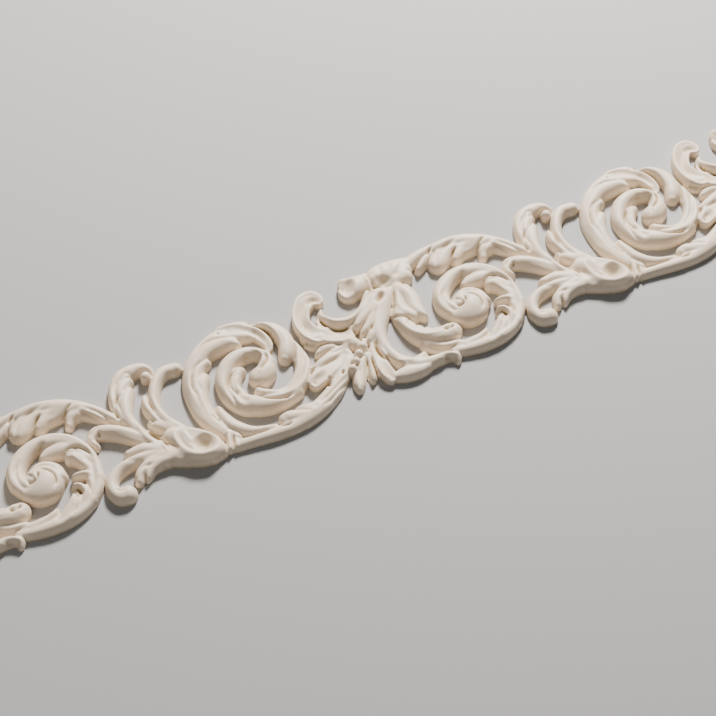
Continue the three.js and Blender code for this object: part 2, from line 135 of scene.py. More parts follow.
# The big leaf, which turns over at its end, and the lobes on its edges:
round_leaf((-24, 0, 6.6, 8.5), (-33, 6, 5.6, 9), (-42, 11, 5.4, 9), (-51.5, 12.5, 3.8, 7.5))
round_leaf((-24, -2, 6.6, 9), (-36, 2, 6.2, 9), (-48, 5, 4.7, 9), (-60, 4.2, 4.6, 8.5),
           (-68.3, -0.5, 4.4, 8), (-71.8, -8, 4.6, 8), (-69, -15, 6, 8.5), (-64.5, -16, 6.6, 9))
round_leaf((-30, -4, 4.7, 8.5), (-42, -1.5, 4.7, 8.5), (-50.3, -4.8, 3.9, 8),
           (-53.8, -10.5, 3, 6.5))
round_leaf((-22, -4, 4.7, 9), (-33, -3.5, 4.5, 8.5), (-42, -5, 4.1, 8), (-47.8, -10, 2.8, 6.5))
# The stem under the eye, the eye and the two rings of the collar:
round_leaf((-30, -1, 5.7, 8.5), (-18, -7, 6.9, 9), (-5, -11.8, 7.5, 9.5), (4, -12.4, 5.6, 8.5))
round_leaf((-20, 11, 7.6, 10.5), (-14.5, 5, 10.4, 12.3), (-8.5, -3.3, 12.4, 13.3),
           (-4, -7.8, 11.2, 12.7))
round_leaf((12.5, -6, 2.3, 7.2), (9.6, -14.9, 2.3, 7.2))
round_leaf((17, -7.5, 2.2, 6.5), (14.3, -15, 2.2, 6.5))
# The cuts between the leaves of the claw and the horns, and the small ball:
crease(1.5, 1.0, (-70.5, 36), (-67, 38), (-63, 39.8), (-60, 40))
crease(1.2, 1.1, (-70.5, 30), (-69, 27), (-67.5, 24))
crease(0.7, 2.0, (-62, 33), (-52, 29), (-42, 20), (-34, 11))
dent(2.0, -63, 35.2, 1.5, 1.5)
crease(1.8, 1.1, (-37.5, 57), (-40.5, 57), (-43.5, 53.5), (-46, 49), (-47, 43), (-47, 37))
crease(0.9, 1.2, (-24.5, 70), (-28, 73), (-31.5, 71.5), (-35.5, 67.5))
crease(1.0, 1.8, (-34, 71), (-41, 63), (-43, 55))
ball(-16.8, 66, 3.6, 9.3)
crease(1.6, 0.9, (-21, 69), (-18.5, 70.3), (-15, 69.8), (-12.8, 67), (-13, 63))
crease(1.3, 1.2, (-22.5, 48), (-23.5, 40), (-24, 34), (-22.5, 28), (-19.5, 21))
crease(1.4, 1.0, (-33, 28), (-28.5, 29), (-26.5, 26.5))
crease(0.9, 1.4, (-30.5, 24), (-27.5, 20), (-24.5, 15.5))
crease(0.9, 1.6, (-17.5, 52), (-18, 42), (-16, 30), (-11, 20))
dent(1.0, 3, 58, 4.5, 2.5, 52)
dent(4.0, -31, 18.5, 8, 3, -68)
ridge(0.9, 1.2, (-37.5, 34), (-37.5, 24.5), (-36, 16.5), (-32.5, 9.5), (-29.5, 5.5))
crease(1.0, 1.0, (-34.5, 33), (-34, 27), (-33.5, 20.5))
# The cuts in the big leaf:
crease(0.8, 1.5, (-57, 8.5), (-54, 5.5), (-48, 3), (-41, 2.5), (-32, 1.5))
crease(1.0, 1.2, (-40, -3.7), (-45.5, -3.2), (-49, -3), (-52.5, -4.5), (-55, -6.5))
crease(2.6, 0.8, (-48, -7.5), (-50, -12), (-52, -18.5))
crease(1.4, 1.2, (-69.5, -9), (-69, -12.5), (-66, -13.5), (-63.5, -11))
crease(0.8, 2.0, (-66, -2), (-60, 1.5), (-52, 2), (-44, -1))
# The eye, a dish with a rolled lip, a tongue at its upper end and a bowl at its lower:
dent(2.8, -9.5, -1.5, 15, 9, -52)
dent(5.4, -4, -6.2, 9.2, 7.8, -20)
ridge(1.4, 2.1, (-11.5, 14), (-17, 13), (-20.3, 8), (-20.8, 1), (-19, -6.5), (-14, -12.5),
      (-6.5, -15.5), (1, -14.8), (5, -11.3), (5.5, -6))
ridge(0.5, 1.6, (-12, 13), (-8, 8.5), (-2, 3.2), (3, -1), (6, -7))
crease(0.8, 1.2, (-15.5, 11.5), (-17.3, 5), (-16.3, -3), (-12, -9.3), (-7, -12.3))
ridge(0.7, 1.2, (-13.5, 9.5), (-12.8, 3), (-11, -2.5))
ridge(1.2, 1.0, (-26, 17), (-28.3, 12), (-28.8, 6), (-28, 0))
crease(1.0, 1.2, (-24.5, 17), (-26.8, 12), (-27.2, 6), (-26.5, 0))
crease(1.3, 0.9, (12.3, -1), (9.8, -9), (7.5, -15), (6.4, -18.3))
crease(1.5, 0.9, (16.8, -3), (14.5, -10), (12.7, -15.3), (11.7, -18.3))

# The first scroll. Leaves overlap one another round its rim, and a ring winds in from
# them and ends in a ball. The leaves are cut in under each other's edges.
def cupped_leaf(*points):
    """A leaf hollowed along its middle, so that both its edges stand up."""
    middle_height = 0.82
    edge_rise = 0.13
    shoulder = 1.7
    stroke(lambda across: middle_height + edge_rise * across ** 2, shoulder, points)


round_leaf((17, -8, 4.7, 6.5), (10, 3, 5.2, 7), (5.5, 17, 5.7, 8), (5, 32, 5.7, 8.5),
           (8, 46, 6.2, 8.5), (15, 58, 6.6, 9), (25, 66.7, 7.2, 9.5), (37, 72, 7.4, 10),
           (49, 72.5, 7.4, 10), (61, 69, 6.6, 9))
round_leaf((44, -12.5, 3.2, 6), (30, -8.5, 4.6, 7), (20, 1, 5.2, 8), (16.5, 11, 4.5, 8),
           (16.3, 18.5, 3, 6.5))
round_leaf((12, 2, 4.7, 7), (9, 14, 4.7, 8), (9, 27, 4.7, 9), (12, 38, 5, 9.5),
           (16.5, 44.5, 4.5, 9), (19.5, 47.5, 3.2, 7.5))
round_leaf((9, 38, 4.7, 9), (13, 49, 5.2, 9.5), (19, 56, 4.7, 9.5), (25, 57.8, 3.5, 8))
round_leaf((13, 52, 4.7, 9.5), (20, 61, 5.7, 10), (30, 66.5, 6.6, 11), (40, 67, 6.6, 11),
           (47, 64.8, 5.2, 11), (49.5, 62.3, 4, 10))
cupped_leaf((46, 75, 5.5, 9.5), (56, 74, 5.4, 9.5), (64.5, 68.5, 5.2, 9.5), (69, 60.5, 4.7, 9),
            (69.8, 53.5, 3.6, 8.5), (68.3, 48.5, 2.2, 7))
round_leaf((64, 73, 2.6, 8.5), (75.5, 66, 5.2, 9.5), (81, 57, 6.2, 9.5), (81.3, 48, 6, 9.5),
           (77.5, 40.5, 5.5, 9), (75, 37, 4.4, 7.5))
# The strand that leads in, its bulge, the ring, the leaf in the ring and the ball:
round_leaf((84, 47, 4.2, 8), (85, 35, 5.2, 8), (82.5, 24, 5.7, 9), (76, 15, 6.2, 9),
           (67, 9, 6.2, 9.5), (57, 9, 5.7, 9.5), (50, 14.5, 4.7, 8.5), (46.8, 20, 3.2, 7))
round_leaf((70, 7, 4.7, 8), (60, 5, 5.2, 9.5), (49, 6, 6.7, 10.5), (40, 10, 7.2, 10.5),
           (35, 15.5, 6.2, 9.5), (34, 20.5, 4, 8))
round_leaf((44, 7, 5.7, 9.5), (34, 11.5, 5.7, 9.5), (28, 20, 5.3, 9.5), (26.5, 31, 5.1, 9.5),
           (30, 41, 5.7, 10), (38, 49, 6.2, 11), (48, 52, 5.7, 11), (57, 50.5, 4.7, 10),
           (63.5, 44, 4.2, 9.5), (64, 37, 4.2, 9.5))
round_leaf((36, 21, 3.7, 8), (33.5, 29, 4.3, 9), (37, 36.3, 4.5, 9.5), (41, 40, 4.2, 9),
           (43.5, 40.5, 3.2, 8))
round_leaf((62, 40, 5.2, 9.5), (59, 33, 7.2, 11), (53.5, 30, 8.2, 11), (51.5, 30, 6.7, 10))
# The cuts and lips of the leaves on the rim:
crease(1.6, 1.0, (25.5, 57), (20, 57.5), (14.5, 54.5), (10.5, 49.5), (7.5, 43), (6.5, 34))
ridge(0.8, 1.1, (11, 54.5), (8, 48.5), (5.5, 42.5), (4.5, 34))
crease(1.1, 2.2, (3, 14), (1.5, 30), (3, 44), (9, 57))
crease(1.0, 1.6, (12, 44), (12, 32), (11.5, 20), (14, 8))
crease(1.6, 0.9, (9.5, 15), (11.3, 10.5), (12.5, 7))
crease(1.0, 1.0, (13.5, -5), (17.5, -9.5), (23, -11.6), (31, -12.2), (43, -13.8))
crease(0.9, 1.8, (17, 10), (24, 0), (34, -6), (46, -9.5))
crease(1.1, 1.3, (20, 66), (25, 69.5), (32, 71.3), (41.5, 70), (48, 66.3), (50.5, 60.5))
crease(2.2, 3.2, (38, 75), (51, 73.5), (60.5, 69), (65.3, 62.5), (66, 54.5), (64, 47))
ridge(0.9, 1.3, (30, 77.5), (42, 79.3), (54, 77.5), (63.5, 71.8), (69, 65.5), (71, 57.5),
      (70.5, 49.5), (67.5, 43.5))
crease(4.2, 1.7, (61, 76), (66, 73), (70.5, 68.3), (73.8, 61), (74.2, 53.5), (72, 46))
ridge(0.8, 1.4, (71, 71), (76, 63.5), (77.7, 56.5), (77, 49), (74, 42))
dent(1.6, 42, 75, 1.1, 1.1)
# The channel of the strand, the cuts round the ring and its hollow:
crease(2.2, 1.2, (87.5, 45), (83.5, 38), (79, 30.5))
crease(2.2, 2.3, (88, 41), (86, 31), (82, 23), (76.5, 16.5), (69, 12), (61, 10.5), (53, 11.5))
ridge(0.9, 1.2, (90, 36), (88.5, 27), (84, 18), (77, 10.5), (68, 5.5))
crease(2.6, 1.2, (43, 17), (47.5, 9.5), (53, 5.8), (60, 4), (68, 5))
ridge(0.9, 1.1, (45.5, 19), (50, 14), (57.5, 10.8), (64, 11))
dent(1.0, 33.5, 14.5, 6, 3.4, -62)
crease(1.9, 1.1, (44.5, 39.5), (36, 39), (30.5, 34), (28, 27), (28, 18), (29, 10))
crease(0.9, 1.2, (42.5, 38), (37, 35.5), (33.5, 30), (32.8, 23))
crease(1.0, 1.8, (23.5, 34), (24, 22), (29, 12), (38, 4.5))
dent(3.4, 51.5, 42.5, 7.5, 5, -83)
ridge(1.2, 1.2, (56, 52), (60, 47.5), (60.8, 42.5), (58.8, 38), (53, 34))
crease(2.0, 1.0, (62, 47.5), (63.3, 42), (61, 37.3), (55, 33.5), (51, 33))

# The stem. It leaves the collar and carries the run on, with two knobs on it, the pod
# leaf that reaches back to the scroll and the pods that hang below the beads.
round_leaf((14, -13, 4.6, 6), (28, -15, 4.5, 6.5), (42, -17, 4.7, 7),
           (56, -16.7, 5.8, 7), (68, -14.5, 6.7, 8), (80, -10.5, 6.7, 8), (92, -4, 6.2, 8),
           (103, 5, 5.7, 7.5), (113, 14, 5.7, 7.5))
round_leaf((72, -13, 5, 8.2), (62, -11.6, 5.4, 8.2), (56, -9.8, 5.3, 8), (52.6, -9.6, 4.8, 7.4))
round_leaf((77, -10, 3.4, 8), (69, -8.6, 3.4, 7.8), (64, -7.2, 2.6, 7.2))
round_leaf((116, 26, 4.2, 7), (104, 23, 4.7, 8), (95, 20.5, 4.2, 8), (89.5, 19.5, 2.9, 6.5))
cupped_leaf((112, 19, 5.7, 7), (100, 15, 6.2, 8.5), (91, 11, 6.2, 8.5), (85, 8, 5.3, 8),
            (83.3, 7, 4.2, 7))
round_leaf((121, 10, 4.7, 7), (115, 2, 5.1, 7), (110.8, -5.5, 4.7, 7), (108.5, -11, 2.7, 5.5))
round_leaf((126, 12, 4.1, 7), (123.5, 2, 4.1, 7), (121.3, -5.5, 3.3, 6.5),
           (120.3, -8.2, 2.1, 5.5))
round_leaf((131, 14, 3.7, 6.5), (128, 3, 3.7, 6.5), (127, -3.5, 3.7, 6.5))
# The cuts under the knobs, the hollows of the pod leaf and the fine ribs to the beads:
dent(0.6, 51.8, -10.5, 3.5, 2.5, -60)
crease(2.0, 1.0, (45.5, -13), (48.5, -14.8), (52, -15.8), (55.5, -15.6))
crease(0.9, 1.0, (59, -7), (62.5, -9.1), (66, -11.1), (71, -13.8))
crease(1.3, 1.2, (86, 16), (94, 17), (102, 18.3), (110, 20))
dent(1.3, 87.5, 9, 6.5, 3.8, 30)
ridge(0.7, 1.1, (91.5, 11), (88, 12.3), (83.5, 10.5), (80.8, 6.5), (81.5, 3), (85.5, 1.5))
crease(2.6, 1.0, (94, 7), (92, 2.5), (90.5, -2))
dent(2.2, 104, 5.5, 2.2, 1.2, 41)
crease(1.3, 0.9, (77, -11), (84, -8.5), (92, -5), (100, -1), (109, 4))
crease(1.8, 0.9, (78, -14), (86, -11.5), (95, -6.5), (104, -2), (111.5, 3))
crease(1.6, 0.9, (84, -15), (90, -12.5), (98, -8.5), (106, -3.5), (111, 0))
crease(2.6, 1.1, (124.5, 11), (122, 3), (119, -4.5), (116, -11.5))
crease(2.6, 0.9, (127.5, 10), (126, 2.5), (125, -4), (123.5, -10.5))
crease(1.0, 1.1, (117, 5.5), (113, -2), (109.5, -9.5))
crease(1.0, 1.0, (121.5, 6), (117, -2), (112.5, -9.5))

# The large curl. It stands up from the root like a gutter, with lobes at its back, and a
# blade lies across the bowl at its foot.
cupped_leaf((116, 32, 6.7, 8), (107, 38, 6.9, 8.5), (99.7, 47, 6.5, 9.5), (98.2, 57, 6, 9.5),
            (101.5, 66, 6.3, 9.5), (107.5, 73, 6.5, 9.5), (113.5, 76, 6, 8),
            (117, 73.5, 4.6, 8), (117.8, 71, 3.7, 8))
round_leaf((106, 40, 4.7, 8), (98, 43, 4.3, 8), (94, 45.8, 3, 6.5))
round_leaf((104, 36, 4.7, 8), (97, 39, 3.7, 7), (94, 41, 2.7, 6))
round_leaf((114, 32, 5.7, 8), (104, 31, 5, 8), (97.5, 29.7, 3, 6.5))
round_leaf((151, 59.5, 3.4, 10), (142, 49.5, 3.9, 9.5), (131, 45.5, 4.1, 8.5),
           (122, 47, 3.9, 8.5), (115.5, 51.5, 3.7, 8.5), (113, 57.5, 3.1, 8.5),
           (115.3, 61.5, 1.9, 7.5))
cupped_leaf((112, 53, 4.2, 7), (113, 45, 6.4, 7.5), (117.5, 39.5, 8, 7.5), (123, 37.5, 6.6, 7))
round_leaf((110, 31, 4.7, 7), (120, 29, 5.7, 8), (128, 24, 5.5, 7))
# The gutter of the curl, the bowl behind the blade, and the cuts round the lobes:
crease(1.6, 2.6, (116.5, 67), (115, 72), (109.5, 72), (103, 67), (98.8, 60), (98.3, 52), (101, 43.5))
dent(1.2, 113.5, 71.5, 6, 4.5, -30)
ridge(0.7, 1.3, (120.5, 73), (118, 78), (113, 80), (106, 78), (99, 71), (94.5, 62), (93, 52.5),
      (95, 43.5), (100, 36.5), (108, 30))
ridge(0.6, 1.2, (114.5, 63), (111.5, 66), (107.5, 65.5), (104, 60), (103.2, 53.5), (104.5, 46.5))
ridge(1.0, 1.2, (115.5, 60), (115.5, 53.5), (118, 48), (123, 45), (129.5, 43.8), (137, 46), (145, 54))
crease(1.6, 1.2, (111.5, 57), (112.3, 50), (115.3, 45), (120, 41.8), (126, 40.5), (132, 42))
dent(3.0, 118, 39, 12, 7, -14)
dent(1.4, 112, 54, 8, 3, -96)
ridge(1.1, 1.3, (104, 39), (107, 34), (111.5, 30.3), (118, 28.8), (125, 29.5))
crease(1.6, 1.1, (91, 45), (95, 38.5), (101, 35), (108, 32))
crease(1.8, 1.2, (96, 34.5), (103, 33.7), (109.5, 30.5), (115.5, 26))
crease(1.0, 1.4, (115.5, 25), (109, 23.5), (101, 24))

# The loop. A head like a hood, with folds at its side, stands on a long stalk that
# comes down past a cupped leaf and turns along the run.
round_leaf((158.7, 53.7, 8.5, 10.5), (153.3, 47.7, 9.2, 11), (148, 38.5, 8.2, 10),
           (143, 29, 6.5, 9.5), (141, 19, 5, 8.5), (141, 9.5, 4.4, 8), (143.5, 0, 4.7, 8),
           (149, -8, 6.2, 8), (155, -12, 6.4, 8), (162, -13, 4.9, 8), (169, -13.5, 4.1, 8),
           (176, -14, 3.6, 7), (181, -16.5, 3.3, 6.5), (180, -20, 2.3, 5.5))
round_leaf((152, 52, 6.5, 10.3), (145, 46, 6.3, 10.2), (137, 41, 4.9, 9.5), (130.3, 37.6, 3.1, 8))
round_leaf((148, 42, 5, 9.7), (141, 36, 4.6, 9.3), (135, 31.8, 3.8, 8.8), (132.3, 29.8, 2.8, 7.5))
round_leaf((147, 38, 5, 9.8), (141, 31, 4.6, 9.3), (136.5, 25.5, 4.2, 9), (134, 23, 3.6, 8))
round_leaf((150, 47, 6, 10.2), (144, 40, 5.2, 9.8), (139, 34.5, 4, 9.2), (136.5, 31, 3, 8.6))
round_leaf((136, -13, 3.7, 6.5), (142, -13.5, 5.8, 7.5), (150, -14.5, 6.2, 8),
           (158, -14.5, 5, 7.5))
cupped_leaf((136, 18, 4.1, 7), (133, 8, 4.5, 8), (131, -2, 4.9, 8), (131.5, -10, 4.7, 7),
            (131.5, -13.5, 3, 6))
round_leaf((154, -8, 4.7, 7), (160, -6.5, 3.7, 7), (161.5, -5, 2.7, 6.5))
# The dimple in the hood, the cuts beside the folds and the hollow of the cupped leaf:
crease(4.0, 1.6, (129.5, 39), (128.3, 33.5), (128, 28), (128.5, 23))
dent(3.6, 156.5, 50.8, 6.6, 3.4, 37)
crease(0.8, 1.0, (151, 44.5), (146, 39.5), (142, 34.5), (139, 30), (136.5, 25))
crease(1.0, 1.0, (147.5, 43.5), (141, 39.5), (135.5, 36), (128, 33))
crease(1.4, 1.0, (143, 33), (138, 30), (134, 28), (130, 26))
crease(2.6, 1.4, (136, 20), (134.3, 14), (134.5, 7), (137, 0.5), (141.5, -5))
ridge(0.9, 1.2, (138, 17), (137, 9), (138.5, 1.5), (142, -3.5), (149, -7), (157, -9))
ridge(0.8, 1.1, (127.5, 2), (127, -5), (128.5, -11), (133, -15.5))
ridge(0.8, 0.9, (146, -5.5), (144, -10.5))
crease(0.9, 1.6, (146, -9.5), (154, -13.5), (163, -15))
crease(2.0, 1.4, (170, -15.5), (175, -16.5), (178, -19.5), (178.5, -23))
ridge(0.8, 1.0, (168, -11.5), (173, -11.8), (178, -14), (182, -18), (182, -22))

# The row of beads between the pods and the stalk. Each is a half ball, and they stand on
# one low bed.
BEAD_COUNT = 4
BEAD_RADIUS = 3.3
FIRST_BEAD = (126, 19.4)
LAST_BEAD = (111.2, 5.1)
BEAD_CREST = 10.0
round_leaf((126.5, 22, 2.4, 5), (111, 5.5, 2.4, 5))
for share in np.linspace(0, 1, BEAD_COUNT):
    bead_x = FIRST_BEAD[0] + share * (LAST_BEAD[0] - FIRST_BEAD[0])
    bead_y = FIRST_BEAD[1] + share * (LAST_BEAD[1] - FIRST_BEAD[1])
    ball(bead_x, bead_y, BEAD_RADIUS, BEAD_CREST)

# The flower. One petal lies to the left, a broad one on top, and a pointed one hangs down
# on the right. A leaf rolls out below them, and a link leads on to the second scroll.
round_leaf((156, 71, 8, 10), (148, 70.5, 8.8, 10.5), (142.5, 69.5, 8.3, 10), (141.5, 69, 8.1, 9.6))
round_leaf((152, 73, 5.6, 10), (146, 74.5, 6, 9.8), (142, 76, 5, 9.4), (140.7, 76.9, 4.2, 9.2))
round_leaf((146, 70, 7, 9.8), (142.5, 72, 6.6, 9.6), (140.2, 74, 5.2, 9.4))
round_leaf((162, 70, 7.8, 10), (168, 71.5, 9.6, 10.8), (176, 71.2, 10, 10.8),
           (183, 71.6, 8.6, 10.2), (189, 74.5, 4.9, 8.4))
round_leaf((166, 64, 5.5, 8), (174, 63.5, 6.5, 9.5), (182.5, 63.5, 6.6, 9.5))
round_leaf((181, 66, 6, 9.8), (186.5, 67.5, 4.6, 9.3))
round_leaf((173, 57.5, 6.4, 8), (175.2, 51.5, 7.2, 9.5), (175.8, 43.5, 7.6, 9.6), (175.2, 35, 6.8, 9.3),
           (176.3, 28.5, 4.8, 8.9), (178, 24.2, 2.8, 8.3))
round_leaf((164, 60, 5.7, 7), (168.5, 53.5, 5, 8.2), (169, 46.5, 5.4, 9), (167.5, 40, 5.8, 9.2),
           (168, 33.5, 5.6, 8.9), (171, 28, 4.6, 8.5))
round_leaf((151, 63, 4, 6), (163, 62, 4, 6))
round_leaf((164, 36, 6.7, 8), (162.5, 26, 5.7, 8.5), (164.5, 16, 6.7, 9.5),
           (171, 6.5, 8.2, 10.5), (180, 2.5, 7.7, 11), (187, 3, 7.2, 11), (189, 3.5, 6.7, 10))
round_leaf((168, 2, 5.7, 7), (177, -5, 4.7, 7), (188, -9, 4.7, 7))
# The dimple and ragged edge of the left petal, the ripples of the top one and the heart:
dent(4.6, 140.5, 71, 9, 6.2, 62)
ridge(0.8, 1.1, (147, 80.3), (140.5, 80.3), (137, 77.5), (134.9, 71), (136, 64.5), (140, 60.8))
for notch_x, notch_y in ((145, 81), (150, 80.5), (154.5, 79.5)):
    crease(1.3, 0.8, (notch_x, notch_y + 2), (notch_x + 1.0, notch_y - 0.5), (notch_x + 2, notch_y - 3))
crease(1.6, 1.2, (160, 78), (158, 70), (158.5, 64), (161, 60))
ridge(0.9, 1.2, (158, 79), (156, 72), (155.5, 66))
dent(2.6, 165.5, 63.5, 9, 5.5, -25)
crease(0.7, 2.0, (165, 63), (167.5, 71), (169.5, 82))
crease(0.7, 2.0, (168, 61), (174, 70), (178, 82))
crease(0.6, 2.0, (170, 60), (178, 66), (188, 74))
crease(1.2, 1.4, (186, 58.5), (180, 56.5), (175, 56.5))
crease(2.4, 1.2, (169.5, 57), (167.8, 51.2), (164.8, 44.6), (160.4, 38.6), (156, 33.8))
crease(1.8, 1.0, (155.5, 35.5), (160.5, 31.4), (165.5, 28.3), (168.5, 23.5), (171.5, 19.5))
dent(1.3, 170.8, 41.5, 10, 5, 80)
# The jagged lip of the leaf that rolls out, its mouth and the bands beneath:
ridge(1.0, 1.1, (158, 32), (159.5, 25), (161, 17), (164, 11), (169, 6), (176.5, 3.3), (182.5, 4))
for notch_x, notch_y in ((164, 23.5), (167.5, 18), (172, 14.5), (177, 11)):
    crease(1.4, 0.8, (notch_x + 2.5, notch_y + 2.5), (notch_x - 1.5, notch_y - 2.5))
crease(2.4, 1.3, (181.5, 6), (184.5, 3.5), (189, 4.5), (191.5, 6.5))
crease(0.9, 1.3, (162, 10.5), (167, 3), (174, -1.5), (183, -3.5))
crease(1.5, 1.1, (166, -1), (173, -6.3), (180, -9), (189, -9.5))

# The second scroll. A ring winds in on a large ball, a lip winds round the ball, and
# lobes stand on the ring's inner edge.
round_leaf((183, -12.5, 4, 6.5), (194, -15, 4.6, 7), (206, -16.3, 5.1, 8), (219, -14, 6.1, 8.5),
           (231, -7.5, 6.7, 9), (240, 2.5, 6.2, 9), (244, 15, 5.5, 9), (243, 28, 5.7, 9.5),
           (237, 39, 6.3, 10), (227, 45.5, 6.3, 10), (215, 47, 5.7, 10), (205, 43, 6.2, 10),
           (197.5, 35.5, 6.3, 10), (195, 26, 6.3, 10), (198, 19, 6.6, 10))
round_leaf((199, 20, 7.7, 9), (205, 15.5, 12, 12.5), (208.5, 15.5, 13.6, 13.5),
           (211, 16.5, 12.6, 13.5))
round_leaf((222, 16, 4.6, 10), (221, 24, 4.2, 10), (214.5, 29, 4.2, 10), (208, 28, 3.2, 9.5),
           (205.5, 25.5, 2, 8.5))
round_leaf((236, 34.5, 6, 9.5), (229, 36.5, 6.2, 9.7), (221.5, 36.8, 5.4, 9), (216.5, 35.7, 3.4, 8))
round_leaf((243, 9, 5, 9), (241.8, 17, 5.6, 9), (238.8, 23, 5.2, 10), (235, 26.3, 4.6, 10.3),
           (233, 27, 4.2, 9.8))
round_leaf((243, 5, 5, 8.5), (237.5, 10.3, 3.2, 8.8), (232.5, 11.8, 2.6, 8.8), (229.7, 12, 2.2, 8))
round_leaf((233, -9, 4.6, 8), (232.2, -3, 3.6, 8.8), (230.5, 2.5, 3, 9.4), (227.3, 4.6, 2.4, 9.2))
round_leaf((227.3, 3, 3.6, 6), (227.5, -3, 4.2, 6), (224.5, -9, 4.6, 6.5), (219, -14, 4.6, 7))
round_leaf((212, -15, 5.6, 8), (218, -10.5, 5.1, 8.8), (221.7, -5.8, 3.7, 9), (223.8, -2.2, 2.2, 8.3))
round_leaf((192, -11, 4.6, 7), (202, -10.6, 3.9, 7.5), (207.8, -8.6, 2.9, 7.5), (210.3, -6.5, 1.7, 6.5))
# The rim and channel of the ring, and the wedge where its inner band turns under:
ridge(0.7, 1.4, (205, 48), (214, 51.3), (223, 50.5), (233, 45.5), (241.5, 37), (246.8, 26), (248, 13),
      (245, 1), (239.5, -7.5), (231.5, -14.5), (221, -19.5))
crease(1.5, 2.2, (235, 34), (240.5, 30), (243.3, 21.5), (243, 12), (240, 2), (234, -6.5),
       (226, -12.5), (215.5, -16.5))
crease(2.4, 2.0, (222, 46), (216.5, 42), (212, 37), (210.5, 31.5))
ridge(0.9, 1.3, (198, 39.5), (193, 33), (191, 25.5), (191.5, 19), (195, 14))
crease(1.3, 1.6, (203, 39), (197, 32), (195.5, 24), (197, 17.5), (202, 13.5))
# The swirl cut into the great ball and the lip round it:
crease(2.0, 1.0, (208, 25.5), (211.5, 24.8), (215.5, 21.5), (217.8, 16.5), (217, 11), (213.5, 7))
crease(2.2, 0.9, (200.5, 20.5), (202, 17.3), (205.5, 17.3), (208.3, 20), (208, 24))
ridge(0.8, 1.1, (205.5, 31), (203, 27.5), (202.5, 22.5), (204.5, 19.5))
crease(1.4, 1.0, (224, 18), (222.5, 25), (216, 30.5), (209, 30))
# The cuts between the lobes on the ring's inner edge, and their hollows:
crease(1.6, 1.0, (228, 30), (231.5, 32.2), (236, 32.8), (241, 30.3), (244.8, 24.5), (245.8, 18))
dent(1.3, 239.3, 22.3, 8, 3, -62)
crease(1.9, 1.0, (226, 9.5), (231, 8.6), (234.8, 5.2), (235.6, 0.5), (233.8, -5.5))
crease(1.2, 1.3, (225, 3.5), (228.3, 1.5), (229.2, -3), (227, -8), (222.5, -12.5), (216, -17))
ridge(0.8, 1.0, (223.5, -0.5), (225.2, -6), (223, -12), (217.5, -16.5), (211, -19))
crease(0.9, 1.6, (222, -5.5), (219, -11), (213.5, -14.8), (206, -16.5))
crease(1.4, 0.9, (212, -6.5), (210.8, -11), (207, -14.5))

# The arch. A long leaf leaps over the second scroll and dives into the next spray, with
# three lobes on its under edge and a claw that reaches down to the ring.
round_leaf((188, 72, 5.5, 8), (200, 75, 5, 9), (214, 75.5, 5, 10), (228, 74.5, 5.5, 11),
           (241, 69.5, 6.5, 11), (252, 63, 6.5, 10), (261, 54.5, 6, 9), (267, 47, 5, 9),
           (273, 40, 3.5, 8))
round_leaf((214, 70, 5, 8.3), (226, 69.5, 5.7, 9.3), (238, 66.7, 5.5, 9.7),
           (248, 63.7, 5, 9.5))
round_leaf((208, 73, 4.5, 9), (201.5, 69, 4, 8.3), (194.8, 64.3, 2.8, 7.3))
round_leaf((227, 71.5, 6, 9.3), (218, 68.5, 7.4, 9.7), (212, 64.3, 7.4, 9.5), (209.6, 62.6, 6.9, 9.2))
round_leaf((240, 69, 5.5, 10), (232, 66.5, 5.6, 9.6), (226, 62.5, 5.2, 9.3), (223, 60, 4, 8.6))
round_leaf((246, 66, 5.5, 9), (238, 64, 4.6, 8.5), (230, 62.5, 3.6, 8))
round_leaf((257, 60, 4.6, 9), (251, 59.5, 5, 9.5), (245.5, 57.8, 4.5, 9), (242, 53.3, 3.3, 7))
# The cuts between the lobes, the hollow of each and the grooves down the tail:
crease(1.7, 0.9, (212.5, 77), (208, 73), (204.3, 68), (201.5, 62))
crease(1.1, 1.0, (216, 77), (208, 73.5), (200, 70), (190, 66))
crease(1.3, 1.7, (204, 54), (207.3, 61), (212.5, 67), (219.5, 71), (228, 73.3), (236, 74))
crease(1.9, 1.0, (228.5, 68), (223.8, 65), (220.3, 61), (217, 54))
crease(1.9, 1.0, (252, 66.5), (246, 64.3), (242, 61), (239.5, 57), (238, 51))
crease(0.8, 1.5, (255, 62), (249, 59.5), (244.5, 55.5), (242, 51))
crease(1.5, 1.1, (250, 58), (255, 55.3), (258.5, 50.5), (261, 45), (264, 40))
crease(1.5, 1.1, (254, 61), (260.5, 54.5), (264, 49), (267, 43), (271, 37))
crease(1.8, 0.9, (197, 70), (193, 66.5), (190.5, 61))


# The relief. The strokes, cuts and hollows together give the height of the carved face at
# any place. Where strokes cross, the higher one shows, and the join is softened a little,
# as it is on the casting.
SQUARES_LONG = 320.0
SQUARES_DEEP = 13.5
LOWEST_RELIEF = 1.0
BED_HEIGHT = 0.5
FAR_OUTSIDE = -9.0
STROKE_MARGIN = 1.5
SKIRT = 0.9
SHOULDER_DROP = 0.85
JOIN_SOFTNESS = 1.2
CUT_REACH = 3
CUT_FADE = 0.22
DENT_FULLNESS = 1.2
POINTS_AT_ONCE = 8000


def near(x, y, line, margin):
    """Which points lie close enough to a line for it to reach them."""
    low = line[:, :2].min(0) - margin
    high = line[:, :2].max(0) + margin
    return np.flatnonzero((x > low[0]) & (x < high[0]) & (y > low[1]) & (y < high[1]))


